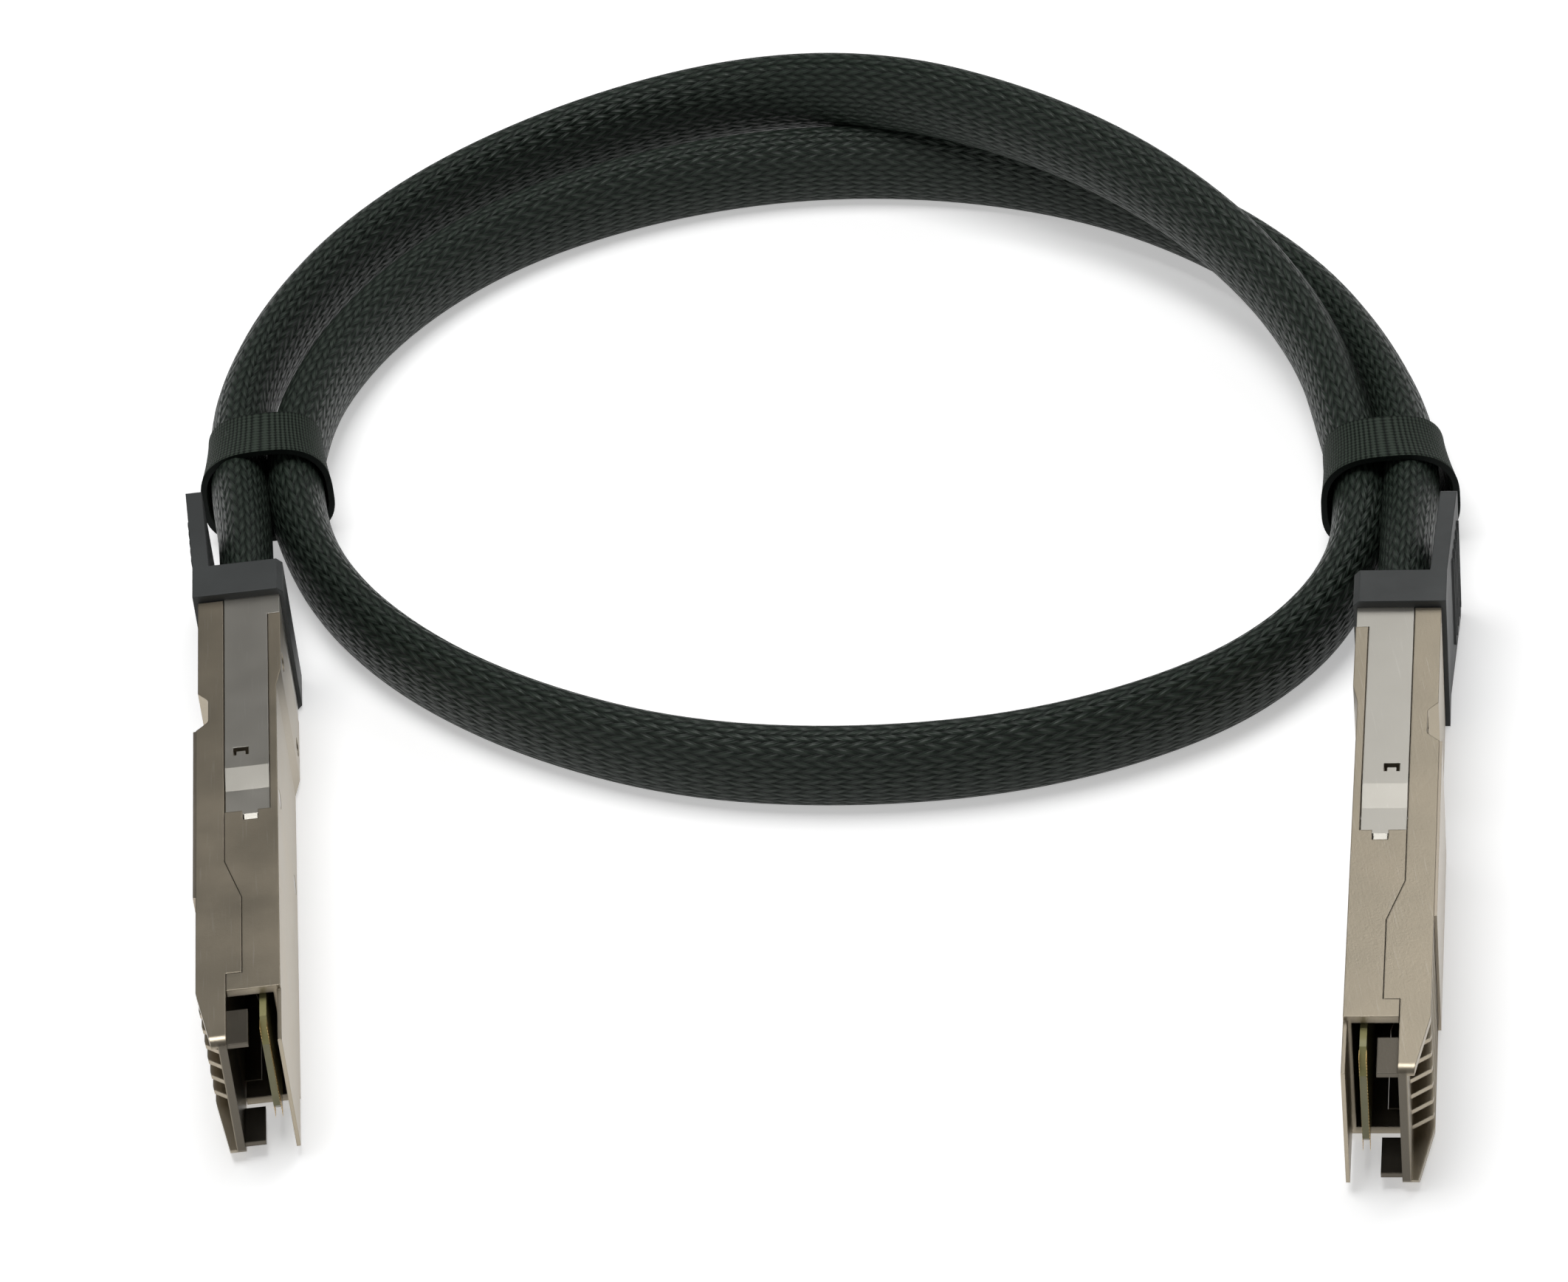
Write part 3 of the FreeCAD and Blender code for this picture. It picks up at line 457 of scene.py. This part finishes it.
def braid_material(perimeter):
    """Two families of flat strands, each over two and under two, of a few filaments, with painted shade
    in the gaps between strands and painted highlight on their crowns.
    """
    s = Shader("cable_braid", 0.5)
    uv = s.node("UVMap", uv_map="braid").outputs[0]
    parts = s.node("SeparateXYZ")
    s.put(parts.inputs[0], uv)
    along = s.math("DIVIDE", parts.outputs[0], BRAID_PITCH)
    around = s.math("MULTIPLY", parts.outputs[1], BRAID_ROWS / perimeter)
    wobble = s.math("MULTIPLY", s.math("SUBTRACT", s.noise(s.point(), 160.0), 0.5), 0.16)
    first = s.math("ADD", s.math("ADD", along, around), wobble)
    second = s.math("SUBTRACT", s.math("SUBTRACT", along, around), wobble)
    cells = s.math("SUBTRACT", s.math("FLOOR", first), s.math("FLOOR", second))
    turn = s.math("FLOORED_MODULO", cells, 4.0)
    upper = s.math("LESS_THAN", turn, 1.5)

    def strand(across, running, lead):
        """Height of a strand: rounded across, arched along its float, grooved between filaments."""
        a = s.math("FRACT", across)
        crown = s.math("SINE", s.math("MULTIPLY", a, math.pi))
        crown = s.math("POWER", s.math("MAXIMUM", crown, 0.0), 0.5)
        offset = s.math("ADD", s.math("SUBTRACT", running, s.math("FLOOR", across)), lead)
        b = s.math("DIVIDE", s.math("FLOORED_MODULO", offset, 2.0), 2.0)
        arch = s.math("SINE", s.math("MULTIPLY", b, math.pi))
        threads = s.math("COSINE", s.math("MULTIPLY", a, math.tau * 2.0))
        height = s.math("ADD", s.math("MULTIPLY", crown, 0.35), s.math("MULTIPLY", arch, 0.65))
        return s.math("ADD", height, s.math("MULTIPLY", threads, 0.07))

    one = strand(first, second, 1.0)
    two = strand(second, first, 0.0)
    pick = s.node("Mix", data_type="FLOAT")
    s.put(pick.inputs[0], upper)
    s.put(pick.inputs[2], two)
    s.put(pick.inputs[3], one)
    height = pick.outputs[0]
    tint = s.noise(s.point(), 700.0, 3.0)
    # Painted shade and highlight: the colour darkens towards the gaps between strands and lightens on
    # their crowns.
    braid_shade_and_highlight = s.ramp(height, (0.3, (0.0013, 0.0030, 0.0018)), (0.7, (0.014, 0.0215, 0.016)),
                  (1.0, (0.040, 0.052, 0.042)))
    s.set(Base_Color=s.mix(s.spread(tint, 0.3, 0.7, 0.0, 0.5), braid_shade_and_highlight, (0.010, 0.016, 0.011)),
          Roughness=s.spread(height, 0.2, 1.0, 0.6, 0.36))
    s.bump(height, 0.00045, 0.9)
    return s.set(Specular_IOR_Level=0.2)


RING, PERIMETER = oval_ring(32)
LINE = cable_line()
cable, CABLE_LENGTH = sweep("cable_braid_tube", LINE, RING, PERIMETER)
cable.data.materials.append(braid_material(PERIMETER))
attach(cable, SHELLS)
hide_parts("cable_sleeve")


# ---- the straps ----

STRAP_WIDTH = 12.6 * MM
STRAP_THICKNESS = 0.95 * MM
STRAP_SHIFT = -1.4 * MM
STRAP_FIT = 0.1 * MM
STRAP_ARCH = 2.8 * MM
STRAP_FLARE = 1.3 * MM
STRAP_LIFT = 1.4 * MM
STRAP_ROWS = 13
STRAP_POINTS = 96
BAND_ROUND = 66.0 * MM
RIB_PITCH = 0.75 * MM
PICK_PITCH = 0.9 * MM


def webbing_material():
    """Ribbed webbing: ribs along the cable, crossed by fine picks, with painted shade in the grooves and
    painted highlight on the ribs.
    """
    s = Shader("strap_webbing", 0.62)
    parts = s.node("SeparateXYZ")
    s.put(parts.inputs[0], s.node("UVMap", uv_map="weave").outputs[0])
    rib = s.math("ABSOLUTE", s.math("SINE", s.math("MULTIPLY", parts.outputs[0], math.pi / RIB_PITCH)))
    pick = s.math("SINE", s.math("MULTIPLY", parts.outputs[1], math.tau / PICK_PITCH))
    height = s.math("ADD", rib, s.math("MULTIPLY", pick, 0.3))
    fuzz = s.noise(s.point(), 2400.0, 3.0)
    # Painted shade and highlight: the colour darkens in the grooves and lightens on the ribs, with some
    # random fuzz.
    s.set(Base_Color=s.ramp(s.math("ADD", height, s.math("MULTIPLY", fuzz, 0.3)),
                            (0.1, (0.003, 0.005, 0.004)), (0.75, (0.017, 0.025, 0.018)),
                            (1.0, (0.036, 0.048, 0.037))))
    s.bump(height, 0.00025, 0.8)
    return s.set(Specular_IOR_Level=0.15)


WEBBING = webbing_material()


def strap_ring(half_width, height, lift):
    """A rounded band section, drawn as a superellipse arch on a flat base."""
    ring = []
    for i in range(STRAP_POINTS):
        t = math.tau * i / STRAP_POINTS
        c, n = math.cos(t), math.sin(t)
        x = half_width * math.copysign(abs(c) ** 0.72, c)
        z = math.copysign(abs(n) ** (0.62 if n > 0 else 0.72), n)
        middle = height / 2
        ring.append((x, middle + z * middle + (lift * max(n, 0.0) ** 1.5)))
    return ring


def add_strap(side):
    """A band round both passes of the cable, tight behind and arched in front."""
    x, y, yaw = STRAPS[side]
    low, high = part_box(side + "_strap")
    outer_half = (high.x - low.x) / 2 - STRAP_FIT
    tall = CABLE_HEIGHT + STRAP_ARCH
    vertices, faces, uvs = [], [], []
    for inside in (0, 1):
        shrink = STRAP_THICKNESS * inside
        for row in range(STRAP_ROWS):
            share = row / (STRAP_ROWS - 1)
            along = (share - 0.5) * STRAP_WIDTH
            flare = (1.0 - share) ** 1.6
            half = (outer_half - STRAP_FLARE + STRAP_FLARE * flare) - shrink
            ring = strap_ring(half, tall - 2 * shrink, STRAP_LIFT * flare)
            for i, (a, b) in enumerate(ring):
                vertices.append((a, along + STRAP_SHIFT, b + shrink))
                uvs.append((i * BAND_ROUND / STRAP_POINTS, along))
    size = STRAP_ROWS * STRAP_POINTS

    def at(inside, row, i):
        return inside * size + row * STRAP_POINTS + i % STRAP_POINTS

    for row in range(STRAP_ROWS - 1):
        for i in range(STRAP_POINTS):
            faces.append((at(0, row, i), at(0, row, i + 1), at(0, row + 1, i + 1), at(0, row + 1, i)))
            faces.append((at(1, row, i), at(1, row + 1, i), at(1, row + 1, i + 1), at(1, row, i + 1)))
    last = STRAP_ROWS - 1
    for i in range(STRAP_POINTS):
        faces.append((at(0, 0, i), at(1, 0, i), at(1, 0, i + 1), at(0, 0, i + 1)))
        faces.append((at(0, last, i), at(0, last, i + 1), at(1, last, i + 1), at(1, last, i)))
    mesh = bpy.data.meshes.new(side + "_strap_band")
    mesh.from_pydata(vertices, [], faces)
    layer = mesh.uv_layers.new(name="weave")
    for face in mesh.polygons:
        edge = len({vertex >= size for vertex in face.vertices}) == 2
        face.use_smooth = not edge
        for loop, vertex in zip(face.loop_indices, face.vertices):
            layer.data[loop].uv = (0.0, 0.0) if edge else uvs[vertex]
    band = bpy.data.objects.new(side + "_strap_band", mesh)
    bpy.context.collection.objects.link(band)
    place = Matrix.Translation((x * MM, y * MM, 0)) @ Matrix.Rotation(math.radians(yaw), 4, "Z")
    mesh.transform(place)
    mesh.materials.append(WEBBING)
    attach(band, SHELLS)
    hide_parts(side + "_strap")


for side in SIDES:
    add_strap(side)


# ---- floor and light ----

FLOOR_GLOW = 0.42
SKY = 0.13


def add_floor():
    """A pale floor that is white to the camera and in reflections, and keeps the shadows."""
    bpy.ops.mesh.primitive_plane_add(size=6.0, location=(0, 0, 0))
    floor = bpy.context.object
    floor.name = "floor"
    s = Shader("floor_paper", 0.9)
    grain = s.noise(s.point(), 900.0)
    s.set(Base_Color=s.mix(grain, (0.80, 0.80, 0.80), (0.84, 0.84, 0.84)), Specular_IOR_Level=0.1)
    rays = s.node("LightPath").outputs
    seen = s.math("MAXIMUM", rays["Is Camera Ray"],
                  s.math("MAXIMUM", rays["Is Glossy Ray"], rays["Is Transmission Ray"]))
    s.set(Emission_Color=(1.0, 1.0, 1.0), Emission_Strength=s.math("MULTIPLY", seen, FLOOR_GLOW))
    floor.data.materials.append(s.material)


def add_light(name, place, target, size, power):
    data = bpy.data.lights.new(name, "AREA")
    data.shape = "RECTANGLE"
    data.size, data.size_y = size
    data.energy = power
    lamp = bpy.data.objects.new(name, data)
    lamp.location = place
    lamp.rotation_mode = "QUATERNION"
    lamp.rotation_quaternion = (Vector(target) - Vector(place)).to_track_quat("-Z", "Y")
    bpy.context.collection.objects.link(lamp)


def add_world():
    world = bpy.data.worlds.new("studio")
    world.use_nodes = True
    world.node_tree.nodes["Background"].inputs[0].default_value = (1.0, 1.0, 1.0, 1.0)
    world.node_tree.nodes["Background"].inputs[1].default_value = SKY
    bpy.context.scene.world = world


add_floor()
add_world()
add_light("right card", (0.50, 0.72, 0.70), (0.08, -0.03, 0.02), (0.70, 0.50), 1.35)
add_light("ramp strip", (0.38, 0.56, 0.87), (0.08, 0.0, 0.02), (0.7, 0.2), 0.75)
add_light("top", (-0.15, 0.1, 1.2), (0.0, 0.05, 0.0), (0.7, 0.7), 9.5)
add_light("fill", (-0.8, -0.7, 0.6), (0.0, 0.05, 0.0), (0.8, 0.6), 1.6)
bpy.context.scene.view_settings.view_transform = "Standard"
